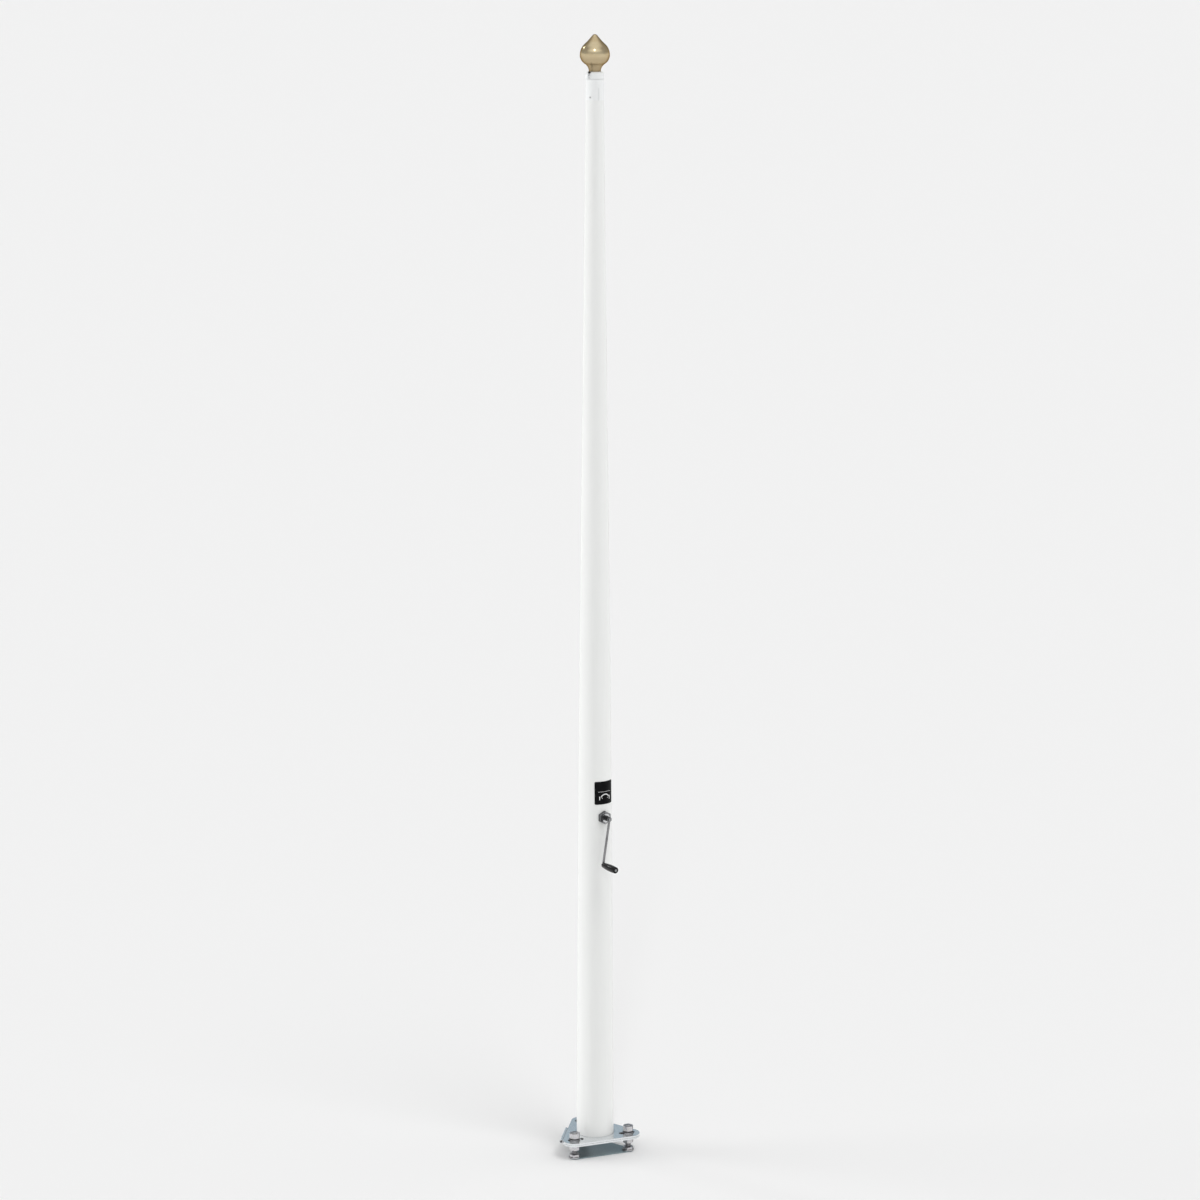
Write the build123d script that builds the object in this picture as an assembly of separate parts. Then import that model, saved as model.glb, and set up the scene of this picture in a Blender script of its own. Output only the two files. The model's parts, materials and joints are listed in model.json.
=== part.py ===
from build123d import *
import math
import os

# Axes: +Z up from the ground, the winch crank faces -Y, millimetres throughout.
# An azimuth is counted in degrees from -Y towards +X.

# Ground plate and anchor studs
STUD_CIRCLE_RADIUS = 145.0
STUD_DIAMETER = 24.0
BASE_AZIMUTH = -10.0
STUD_AZIMUTHS = {"left": -60.0, "right": 60.0, "rear": 180.0}
GROUND_PLATE_THICKNESS = 5.0
GROUND_PLATE_CORNER_RADIUS = 21.0
STUD_FIT_CLEARANCE = 1.0

# Hexagon nuts and washers on the studs
NUT_ACROSS_FLATS = 41.0
NUT_HEIGHT = 22.0
NUT_CHAMFER = 2.6
LOW_NUT_HEIGHT = 15.0
LOW_NUT_FLANGE_DIAMETER = 50.0
LOW_NUT_FLANGE_HEIGHT = 4.0
WASHER_DIAMETER = 48.0
WASHER_THICKNESS = 5.5
SPRING_WASHER_DIAMETER = 40.0
SPRING_WASHER_THICKNESS = 5.0
SPRING_WASHER_SLIT = 3.0
STUD_END_ABOVE_NUT = 3.0
STUD_END_CHAMFER = 2.0

# Two stacked triangular plates with slots, the hinge along one side and the welded spigot
PLATE_HEIGHT = 67.0
HINGE_PLATE_THICKNESS = 8.0
FLANGE_THICKNESS = 8.0
PLATE_LOBE_RADIUS = 51.0
PLATE_EDGE_ROUND = 1.2
SLOT_WIDTH = 27.0
SLOT_LENGTH = 72.0
SLOT_INSET = 6.0
HINGE_BARREL_DIAMETER = 17.0
HINGE_EDGE_DISTANCE = 7.0
HINGE_MIDDLE_LENGTH = 74.0
HINGE_END_LENGTH = 40.0
HINGE_GAP = 1.0
HINGE_SHIFT = 54.0
HINGE_PIN_DIAMETER = 9.0
HINGE_PIN_PROUD = 4.0
SPIGOT_WALL = 6.0
SPIGOT_LENGTH = 420.0
SPIGOT_CLEARANCE = 0.5

# Tapered fibreglass mast
MAST_FOOT_RADIUS = 81.0
MAST_CRANK_RADIUS = 72.5
MAST_MIDDLE_RADIUS = 65.5
MAST_TOP_RADIUS = 38.0
MAST_WALL = 5.0
MAST_LENGTH = 4472.0
MAST_CRANK_STATION = 0.32
MAST_MIDDLE_STATION = 0.49

# Instruction label on the mast
LABEL_WIDTH = 95.0
LABEL_HEIGHT = 100.0
LABEL_THICKNESS = 0.8
LABEL_ADHESIVE = 0.3
LABEL_CORNER_RADIUS = 5.0
LABEL_ABOVE_CRANK = 108.0
LABEL_AZIMUTH = 4.0

# Winch housing and crank
CRANK_HEIGHT = 1517.0
HOUSING_ACROSS_FLATS = 50.0
HOUSING_TURN = 30.0
HOUSING_PROUD = 14.0
HOUSING_CHAMFER = 2.5
BEARING_FLANGE_DIAMETER = 38.0
BEARING_FLANGE_THICKNESS = 3.0
BEARING_BARREL_DIAMETER = 28.0
BEARING_BARREL_TAIL = 16.0
SHAFT_DIAMETER = 14.0
SHAFT_RUNNING_CLEARANCE = 0.05
SHAFT_TAIL = 34.0
HUB_DIAMETER = 22.0
HUB_LENGTH = 23.0
HUB_GAP = 1.0
ARM_LENGTH = 199.0
ARM_SWING = 9.2
ARM_WIDTH = 9.0
ARM_THICKNESS = 5.0
ARM_HUB_DIAMETER = 20.0
ARM_END_DIAMETER = 15.0
SHAFT_END_PROUD = 3.0
GRIP_PIN_DIAMETER = 8.0
GRIP_LENGTH = 98.0
GRIP_BACK_DIAMETER = 21.0
GRIP_MIDDLE_DIAMETER = 30.0
GRIP_FRONT_DIAMETER = 27.0
GRIP_RIM_ROUND = 3.0
GRIP_END_GAP = 0.6
GRIP_RECESS_DIAMETER = 13.0
GRIP_RECESS_DEPTH = 4.0
GRIP_CAP_GAP = 0.8
GRIP_CAP_LENGTH = 4.0

# Head sleeve, revolving truck and halyard end
SLEEVE_HEIGHT = 86.0
SLEEVE_WALL = 7.0
SLEEVE_SPIGOT_LENGTH = 90.0
SLEEVE_FIT_CLEARANCE = 0.25
SLEEVE_SLIT_WIDTH = 4.0
SLEEVE_SLIT_DEPTH = 1.5
SLEEVE_SLIT_HEIGHT = 49.0
SLEEVE_SLIT_AZIMUTH = -8.0
SLEEVE_SCREW_AZIMUTH = -62.0
SLEEVE_SCREW_HEIGHT = 12.0
SLEEVE_SCREW_DIAMETER = 7.0
SLEEVE_SCREW_HEAD = 1.6
TRUCK_GAP = 1.0
TRUCK_HEIGHT = 29.0
TRUCK_SHOULDER_RADIUS = 11.0
TRUCK_WALL = 7.0
TRUCK_JOURNAL_LENGTH = 40.0
TRUCK_JOURNAL_CLEARANCE = 0.1
STOPPER_AZIMUTH = -70.0
STOPPER_DIAMETER = 10.0
STOPPER_SINK = 2.5
STOPPER_SLOPE = 40.0
EYE_SHANK_DIAMETER = 3.0
EYE_WIRE_DIAMETER = 2.2
EYE_BORE_DIAMETER = 5.0
EYE_SLOPE = 0.0
EYE_SHOULDER_GAP = 0.2
LINK_WIRE_DIAMETER = 2.4
LINK_LENGTH = 17.0
LINK_SLACK = 0.3
LINK_WIDTH = 10.4

# Onion finial
FINIAL_HEIGHT = 152.0
FINIAL_RIM_SETBACK = 13.5
FINIAL_FLARE_RADIUS = 42.0
FINIAL_FLARE_HEIGHT = 31.5
FINIAL_BELLY_RADIUS = 62.0
FINIAL_BELLY_HEIGHT = 68.0
FINIAL_SHOULDER_RADIUS = 42.5
FINIAL_SHOULDER_HEIGHT = 112.0
FINIAL_NECK_RADIUS = 10.5
FINIAL_NECK_HEIGHT = 147.0
FINIAL_WALL = 2.0
FINIAL_STUD_DIAMETER = 12.0
FINIAL_STUD_TAIL = 26.0

# Levels and depths that follow from the sizes above
HINGE_PLATE_TOP = PLATE_HEIGHT + HINGE_PLATE_THICKNESS
FLANGE_TOP = HINGE_PLATE_TOP + FLANGE_THICKNESS
PLATE_EDGE = STUD_CIRCLE_RADIUS / 2 + PLATE_LOBE_RADIUS
CLAMP_WASHER_TOP = FLANGE_TOP + WASHER_THICKNESS
SPRING_WASHER_TOP = CLAMP_WASHER_TOP + SPRING_WASHER_THICKNESS
CLAMP_NUT_TOP = SPRING_WASHER_TOP + NUT_HEIGHT
STUD_TOP = CLAMP_NUT_TOP + STUD_END_ABOVE_NUT
LEVELLING_WASHER_BOTTOM = PLATE_HEIGHT - WASHER_THICKNESS
LEVELLING_NUT_BOTTOM = LEVELLING_WASHER_BOTTOM - NUT_HEIGHT
MAST_TOP = FLANGE_TOP + MAST_LENGTH
MAST_BORE_FOOT_RADIUS = MAST_FOOT_RADIUS - MAST_WALL
SLEEVE_TOP = MAST_TOP + SLEEVE_HEIGHT
TRUCK_BOTTOM = SLEEVE_TOP + TRUCK_GAP
TRUCK_TOP = TRUCK_BOTTOM + TRUCK_HEIGHT
FINIAL_RIM_RADIUS = MAST_TOP_RADIUS - FINIAL_RIM_SETBACK
SLEEVE_BORE_RADIUS = MAST_TOP_RADIUS - SLEEVE_WALL - MAST_WALL


def heading(azimuth):
    """Unit vector that points away from the mast's axis at an azimuth."""
    angle = math.radians(azimuth)
    return Vector(math.sin(angle), -math.cos(angle), 0)


def around(azimuth, radius, height=0.0):
    """Point at a radius and height, on the side that an azimuth names."""
    return heading(azimuth) * radius + Vector(0, 0, height)


def tube(outer_radius, inner_radius, bottom, top):
    """Upright round tube."""
    ring = Circle(outer_radius) - Circle(inner_radius)
    return extrude(Pos(0, 0, bottom) * ring, top - bottom)


def stud_place(side):
    """Place of one anchor stud, on the stud circle."""
    return around(BASE_AZIMUTH + STUD_AZIMUTHS[side], STUD_CIRCLE_RADIUS)


def stud_bore_radius():
    return (STUD_DIAMETER + STUD_FIT_CLEARANCE) / 2


def at_stud(side, shape):
    """Shape that is built on the Z axis, moved to a stud and turned with the base."""
    return Pos(stud_place(side)) * Rot(0, 0, BASE_AZIMUTH) * shape


def rounded_triangle(lobe_radius):
    """Outline around a round lobe at each stud, with straight sides between the lobes."""
    outline = Sketch() + [Pos(stud_place(side)) * Circle(lobe_radius) for side in STUD_AZIMUTHS]
    return make_hull(outline.edges())


def hexagon_nut(bottom, height, bore_radius):
    """Hexagon nut with both rims turned down by a cone."""
    corner_radius = NUT_ACROSS_FLATS / math.sqrt(3)
    blank = extrude(Pos(0, 0, bottom) * RegularPolygon(corner_radius, 6), height)
    turned = Pos(0, 0, bottom + height / 2) * Cylinder(corner_radius, height)
    turned = chamfer(turned.edges().filter_by(GeomType.CIRCLE), NUT_CHAMFER / 2, NUT_CHAMFER)
    bore = Pos(0, 0, bottom + height / 2) * Cylinder(bore_radius, height)
    return (blank & turned) - bore


def ground_plate():
    """Thin triangular plate on the ground that spaces the studs."""
    plate = extrude(rounded_triangle(GROUND_PLATE_CORNER_RADIUS), GROUND_PLATE_THICKNESS)
    for side in STUD_AZIMUTHS:
        plate -= Pos(stud_place(side)) * Cylinder(stud_bore_radius(), 2 * GROUND_PLATE_THICKNESS)
    return plate


def anchor_stud():
    """Threaded stud from the ground up through the flange."""
    stud = Pos(0, 0, STUD_TOP / 2) * Cylinder(STUD_DIAMETER / 2, STUD_TOP)
    return chamfer(stud.edges().sort_by(Axis.Z)[-1], STUD_END_CHAMFER)


def low_nut():
    """Thin flanged nut that holds the ground plate down."""
    bottom = GROUND_PLATE_THICKNESS
    nut = hexagon_nut(bottom, LOW_NUT_HEIGHT, stud_bore_radius())
    flange = tube(LOW_NUT_FLANGE_DIAMETER / 2, stud_bore_radius(), bottom, bottom + LOW_NUT_FLANGE_HEIGHT)
    return nut + flange


def washer(bottom):
    """Thick plain washer."""
    return tube(WASHER_DIAMETER / 2, stud_bore_radius(), bottom, bottom + WASHER_THICKNESS)


def spring_washer(bottom):
    """Split ring that keeps the clamping nut tight."""
    top = bottom + SPRING_WASHER_THICKNESS
    ring = tube(SPRING_WASHER_DIAMETER / 2, stud_bore_radius(), bottom, top)
    slit = Pos(SPRING_WASHER_DIAMETER / 2, 0, (bottom + top) / 2) * Box(
        SPRING_WASHER_DIAMETER, SPRING_WASHER_SLIT, SPRING_WASHER_THICKNESS
    )
    return ring - slit


def slotted_plate(bottom, thickness):
    """Rounded triangular plate with a slot for each stud, shifted inwards on the front pair."""
    plate = extrude(Pos(0, 0, bottom) * rounded_triangle(PLATE_LOBE_RADIUS), thickness)
    rims = plate.edges().group_by(Axis.Z)
    plate = fillet(rims[0] + rims[-1], PLATE_EDGE_ROUND)
    slot = extrude(Pos(0, 0, bottom) * SlotOverall(SLOT_LENGTH, SLOT_WIDTH), thickness)
    for side, inset in {"left": SLOT_INSET, "right": -SLOT_INSET, "rear": 0.0}.items():
        plate -= at_stud(side, Pos(inset, 0, 0) * slot)
    return plate


def along_hinge(radius, start, end):
    """Cylinder on the hinge's axis, between two distances from the barrel's middle."""
    side_azimuth = BASE_AZIMUTH + (STUD_AZIMUTHS["left"] - STUD_AZIMUTHS["rear"]) / 2
    middle = Pos(HINGE_SHIFT + (start + end) / 2, -PLATE_EDGE - HINGE_EDGE_DISTANCE, HINGE_PLATE_TOP)
    return Rot(0, 0, side_azimuth) * middle * Rot(0, 90, 0) * Cylinder(radius, end - start)


def middle_knuckle(margin):
    """Long knuckle of the upper plate, grown by a margin."""
    half = HINGE_MIDDLE_LENGTH / 2 + margin
    return along_hinge(HINGE_BARREL_DIAMETER / 2 + margin, -half, half)


def end_knuckles(margin):
    """Two short knuckles of the lower plate, grown by a margin."""
    radius = HINGE_BARREL_DIAMETER / 2 + margin
    inner = HINGE_MIDDLE_LENGTH / 2 + HINGE_GAP - margin
    outer = HINGE_MIDDLE_LENGTH / 2 + HINGE_GAP + HINGE_END_LENGTH + margin
    return along_hinge(radius, -outer, -inner) + along_hinge(radius, inner, outer)


def hinge_pin():
    """Pin through the knuckles, with both ends showing."""
    half = HINGE_MIDDLE_LENGTH / 2 + HINGE_GAP + HINGE_END_LENGTH + HINGE_PIN_PROUD
    return along_hinge(HINGE_PIN_DIAMETER / 2, -half, half)


def hinge_plate():
    """Lower slotted plate with the hinge's end knuckles."""
    plate = slotted_plate(PLATE_HEIGHT, HINGE_PLATE_THICKNESS) - middle_knuckle(HINGE_GAP)
    return plate + end_knuckles(0) - hinge_pin()


def base_flange():
    """Upper slotted plate with the hinge's middle knuckle."""
    plate = slotted_plate(HINGE_PLATE_TOP, FLANGE_THICKNESS) - end_knuckles(HINGE_GAP)
    return plate + middle_knuckle(0) - hinge_pin()


def mast_stations():
    """Outer radius and height where the mast's taper changes, from the foot up."""
    return [
        (MAST_FOOT_RADIUS, FLANGE_TOP),
        (MAST_CRANK_RADIUS, FLANGE_TOP + MAST_CRANK_STATION * MAST_LENGTH),
        (MAST_MIDDLE_RADIUS, FLANGE_TOP + MAST_MIDDLE_STATION * MAST_LENGTH),
        (MAST_TOP_RADIUS, MAST_TOP),
    ]


def mast_radius(height):
    """Outer radius of the mast at a height above the ground."""
    stations = mast_stations()
    for (low_radius, low), (high_radius, high) in zip(stations, stations[1:]):
        if height <= high:
            share = (height - low) / (high - low)
            return low_radius + share * (high_radius - low_radius)
    return MAST_TOP_RADIUS


def mast_envelope(growth):
    """Solid inside the mast's outer surface, grown outwards by a little or inwards by a wall."""
    points = [(radius + growth, height) for radius, height in mast_stations()]
    outline = Polyline((0, FLANGE_TOP), *points, (0, MAST_TOP), close=True)
    return revolve(make_face(Plane.XZ * outline), Axis.Z)


def mast(envelope):
    """Hollow tapered mast with the bearing's hole."""
    shell = envelope - mast_envelope(-MAST_WALL)
    return shell - outward_cylinder(BEARING_BARREL_DIAMETER / 2, 0, 2 * MAST_FOOT_RADIUS)


def spigot_tube():
    """Tube on the flange that the mast slips over."""
    taper = (MAST_FOOT_RADIUS - MAST_CRANK_RADIUS) / (MAST_CRANK_STATION * MAST_LENGTH)
    foot_radius = MAST_BORE_FOOT_RADIUS - SPIGOT_CLEARANCE
    top_radius = foot_radius - taper * SPIGOT_LENGTH
    outer = Pos(0, 0, FLANGE_TOP + SPIGOT_LENGTH / 2) * Cone(foot_radius, top_radius, SPIGOT_LENGTH)
    inner = Pos(0, 0, FLANGE_TOP + SPIGOT_LENGTH / 2) * Cone(
        foot_radius - SPIGOT_WALL, top_radius - SPIGOT_WALL, SPIGOT_LENGTH
    )
    return outer - inner


def outward_cylinder(radius, start, end):
    """Cylinder on the crank's axis, between two distances from the mast's axis."""
    return Pos(0, -(start + end) / 2, CRANK_HEIGHT) * Rot(90, 0, 0) * Cylinder(radius, end - start)


def instruction_label():
    """Thin sheet that follows the mast's curve, on a film of adhesive."""
    skin = mast_envelope(LABEL_ADHESIVE + LABEL_THICKNESS) - mast_envelope(LABEL_ADHESIVE)
    height = CRANK_HEIGHT + LABEL_ABOVE_CRANK
    front = Plane(origin=(0, 0, height), x_dir=(1, 0, 0), z_dir=(0, -1, 0))
    half_angle = LABEL_WIDTH / 2 / mast_radius(height)
    chord = 2 * mast_radius(height) * math.sin(half_angle)
    blank = extrude(front * RectangleRounded(chord, LABEL_HEIGHT, LABEL_CORNER_RADIUS), 2 * MAST_FOOT_RADIUS)
    return Rot(0, 0, LABEL_AZIMUTH) * (skin & blank)


def winch_housing(envelope, surface):
    """Large hexagon housing whose back is shaped to the mast."""
    front = Plane(origin=(0, -surface, CRANK_HEIGHT), x_dir=(1, 0, 0), z_dir=(0, -1, 0))
    corner_radius = HOUSING_ACROSS_FLATS / math.sqrt(3)
    hexagon = RegularPolygon(corner_radius, 6, rotation=HOUSING_TURN)
    blank = extrude(front * hexagon, HOUSING_PROUD) + extrude(front * hexagon, -corner_radius / 2)
    turned = outward_cylinder(corner_radius, 0, surface + HOUSING_PROUD)
    turned = chamfer(turned.edges().sort_by(Axis.Y)[0], HOUSING_CHAMFER / 2, HOUSING_CHAMFER)
    blank = (blank & turned) - envelope
    return blank - outward_cylinder(BEARING_BARREL_DIAMETER / 2, 0, surface + HOUSING_PROUD)


def crank_bearing(surface):
    """Flanged bearing bush through the housing and the mast's wall."""
    face = surface + HOUSING_PROUD
    barrel = outward_cylinder(BEARING_BARREL_DIAMETER / 2, surface - BEARING_BARREL_TAIL, face)
    flange = outward_cylinder(BEARING_FLANGE_DIAMETER / 2, face, face + BEARING_FLANGE_THICKNESS)
    bore_radius = SHAFT_DIAMETER / 2 + SHAFT_RUNNING_CLEARANCE
    return barrel + flange - outward_cylinder(bore_radius, 0, face + BEARING_FLANGE_THICKNESS)


def crank_end():
    """Centre of the crank arm's grip end, in the plane across the crank's axis."""
    swing = math.radians(ARM_SWING)
    return Vector(-ARM_LENGTH * math.sin(swing), 0, CRANK_HEIGHT - ARM_LENGTH * math.cos(swing))


def at_grip(radius, start, end):
    """Cylinder on the grip's axis, between two distances from the mast's axis."""
    return Pos(crank_end() - Vector(0, 0, CRANK_HEIGHT)) * outward_cylinder(radius, start, end)


def crank_arm(arm_back):
    """Flat bar with a round boss at each end."""
    plane = Plane(origin=(0, -arm_back, CRANK_HEIGHT), x_dir=(1, 0, 0), z_dir=(0, -1, 0))
    bar = Pos(0, -ARM_LENGTH / 2) * Rectangle(ARM_WIDTH, ARM_LENGTH)
    outline = bar + Circle(ARM_HUB_DIAMETER / 2) + Pos(0, -ARM_LENGTH) * Circle(ARM_END_DIAMETER / 2)
    outline -= Circle(SHAFT_DIAMETER / 2)
    outline -= Pos(0, -ARM_LENGTH) * Circle(GRIP_PIN_DIAMETER / 2)
    return extrude(plane * Rot(0, 0, -ARM_SWING) * outline, ARM_THICKNESS)


def handle_grip(start):
    """Barrel-shaped grip that spins on its pin, with a recess for the pin's head."""
    back = GRIP_BACK_DIAMETER / 2
    front = GRIP_FRONT_DIAMETER / 2
    bore = GRIP_PIN_DIAMETER / 2 + SHAFT_RUNNING_CLEARANCE
    recess = GRIP_RECESS_DIAMETER / 2
    recess_floor = GRIP_LENGTH - GRIP_RECESS_DEPTH
    middle = (GRIP_MIDDLE_DIAMETER / 2, GRIP_LENGTH / 2)
    side = ThreePointArc((back, 0), middle, (front, GRIP_LENGTH))
    inside = Polyline(
        (front, GRIP_LENGTH),
        (recess, GRIP_LENGTH),
        (recess, recess_floor),
        (bore, recess_floor),
        (bore, 0),
        (back, 0),
    )
    grip = revolve(make_face([side, inside]), Axis.Y)
    rims = grip.edges().filter_by(GeomType.CIRCLE).sort_by(SortBy.RADIUS)[-2:]
    grip = fillet(rims, GRIP_RIM_ROUND)
    return Pos(crank_end() - Vector(0, start, 0)) * Rot(180, 0, 0) * grip


def head_sleeve():
    """Sleeve that caps the mast and reaches down into its bore."""
    plug_radius = MAST_TOP_RADIUS - MAST_WALL - SLEEVE_FIT_CLEARANCE
    outer = tube(MAST_TOP_RADIUS, SLEEVE_BORE_RADIUS, MAST_TOP, SLEEVE_TOP)
    plug = tube(plug_radius, SLEEVE_BORE_RADIUS, MAST_TOP - SLEEVE_SPIGOT_LENGTH, MAST_TOP)
    slit_centre = around(SLEEVE_SLIT_AZIMUTH, MAST_TOP_RADIUS, MAST_TOP + SLEEVE_SLIT_HEIGHT / 2)
    slit = Pos(slit_centre) * Rot(0, 0, SLEEVE_SLIT_AZIMUTH) * Box(
        SLEEVE_SLIT_WIDTH, 2 * SLEEVE_SLIT_DEPTH, SLEEVE_SLIT_HEIGHT
    )
    return outer + plug - slit - sleeve_screw()


def outward_at(azimuth, height, radius, start, end):
    """Level cylinder that points away from the mast's axis at an azimuth."""
    middle = Pos(0, -(start + end) / 2, height)
    return Rot(0, 0, azimuth) * middle * Rot(90, 0, 0) * Cylinder(radius, end - start)


def sleeve_screw():
    """Round-headed screw that holds the sleeve."""
    height = MAST_TOP + SLEEVE_SCREW_HEIGHT
    end = MAST_TOP_RADIUS + SLEEVE_SCREW_HEAD
    return outward_at(SLEEVE_SCREW_AZIMUTH, height, SLEEVE_SCREW_DIAMETER / 2, SLEEVE_BORE_RADIUS, end)


def truck_cap():
    """Revolving cap with a journal that turns in the sleeve."""
    body = Pos(0, 0, TRUCK_BOTTOM + TRUCK_HEIGHT / 2) * Cylinder(MAST_TOP_RADIUS, TRUCK_HEIGHT)
    body = fillet(body.edges().filter_by(GeomType.CIRCLE).sort_by(Axis.Z)[-1], TRUCK_SHOULDER_RADIUS)
    journal_radius = SLEEVE_BORE_RADIUS - TRUCK_JOURNAL_CLEARANCE
    journal_bottom = TRUCK_BOTTOM - TRUCK_JOURNAL_LENGTH
    journal = tube(journal_radius, journal_radius - TRUCK_WALL, journal_bottom, TRUCK_BOTTOM)
    stud = Pos(0, 0, TRUCK_TOP - TRUCK_HEIGHT / 2) * Cylinder(FINIAL_STUD_DIAMETER / 2, TRUCK_HEIGHT)
    return body + journal - stud - stop_ball()


def beyond_shoulder(slope, distance):
    """Point at a slope and distance from the middle of the truck's rounded shoulder."""
    angle = math.radians(slope)
    middle = around(STOPPER_AZIMUTH, MAST_TOP_RADIUS - TRUCK_SHOULDER_RADIUS, TRUCK_TOP - TRUCK_SHOULDER_RADIUS)
    return middle + around(STOPPER_AZIMUTH, distance * math.cos(angle), distance * math.sin(angle))


def stopper_centre():
    """Centre of the stop ball, sunk a little into the truck's shoulder."""
    return beyond_shoulder(STOPPER_SLOPE, TRUCK_SHOULDER_RADIUS + STOPPER_DIAMETER / 2 - STOPPER_SINK)


def stop_ball():
    """Plain ball at the end of the halyard."""
    return Pos(stopper_centre()) * Sphere(STOPPER_DIAMETER / 2)


def eye_centre():
    """Centre of the halyard's eye, clear of the truck's rounded shoulder."""
    ring_reach = EYE_SHOULDER_GAP + EYE_BORE_DIAMETER / 2 + EYE_WIRE_DIAMETER
    return beyond_shoulder(EYE_SLOPE, TRUCK_SHOULDER_RADIUS + ring_reach)


def halyard_eye():
    """Steel ring with a shank into the stop ball."""
    ring_radius = (EYE_BORE_DIAMETER + EYE_WIRE_DIAMETER) / 2
    ring = Rot(0, 0, STOPPER_AZIMUTH) * Rot(0, 90, 0) * Torus(ring_radius, EYE_WIRE_DIAMETER / 2)
    along = eye_centre() - stopper_centre()
    shank = Plane(origin=stopper_centre(), z_dir=along) * Cylinder(
        EYE_SHANK_DIAMETER / 2, along.length - ring_radius, align=(Align.CENTER, Align.CENTER, Align.MIN)
    )
    return Pos(eye_centre()) * ring + shank


def snap_link():
    """Long link that hangs in the eye."""
    wire = LINK_WIRE_DIAMETER / 2
    drop = EYE_BORE_DIAMETER / 2 - wire - LINK_SLACK
    top = eye_centre() - Vector(0, 0, drop)
    path_plane = Plane(origin=top - Vector(0, 0, LINK_LENGTH / 2 - wire), x_dir=(0, 0, 1), z_dir=(-1, 0, 0))
    loop = SlotOverall(LINK_LENGTH - LINK_WIRE_DIAMETER, LINK_WIDTH - LINK_WIRE_DIAMETER).wire()
    path = path_plane * loop
    section = Plane(origin=path @ 0, z_dir=path % 0) * Circle(wire)
    return sweep(section, path)


def finial_outline(inset):
    """Half section of the onion: flared rim, round belly, hollow shoulder and blunt tip."""
    belly = (FINIAL_BELLY_RADIUS - inset, FINIAL_BELLY_HEIGHT)
    flare = (FINIAL_FLARE_RADIUS - inset, FINIAL_FLARE_HEIGHT)
    rim = (FINIAL_RIM_RADIUS - inset, inset)
    shoulder = (FINIAL_SHOULDER_RADIUS - inset, FINIAL_SHOULDER_HEIGHT)
    neck = (FINIAL_NECK_RADIUS - inset, FINIAL_NECK_HEIGHT)
    tip = (0, FINIAL_HEIGHT - inset)
    low_belly = TangentArc(belly, flare, tangent=(0, -1))
    low_flare = TangentArc(flare, rim, tangent=low_belly % 1)
    high_belly = TangentArc(belly, shoulder, tangent=(0, 1))
    high_neck = TangentArc(shoulder, neck, tangent=high_belly % 1)
    blunt_tip = TangentArc(tip, neck, tangent=(1, 0))
    axis_line = Line(tip, (0, inset))
    rim_line = Line((0, inset), rim)
    outline = make_face([low_belly, low_flare, high_belly, high_neck, blunt_tip, axis_line, rim_line])
    return Plane.XZ * outline


def finial():
    """Hollow onion with a closed bottom."""
    shell = revolve(finial_outline(0), Axis.Z) - revolve(finial_outline(FINIAL_WALL), Axis.Z)
    hole = Cylinder(FINIAL_STUD_DIAMETER / 2, FINIAL_STUD_TAIL)
    return Pos(0, 0, TRUCK_TOP) * (shell - hole)


def finial_stud():
    """Stud that ties the finial to the truck."""
    bottom = TRUCK_TOP - TRUCK_HEIGHT
    top = TRUCK_TOP + FINIAL_STUD_TAIL
    return Pos(0, 0, (bottom + top) / 2) * Cylinder(FINIAL_STUD_DIAMETER / 2, top - bottom)


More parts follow.
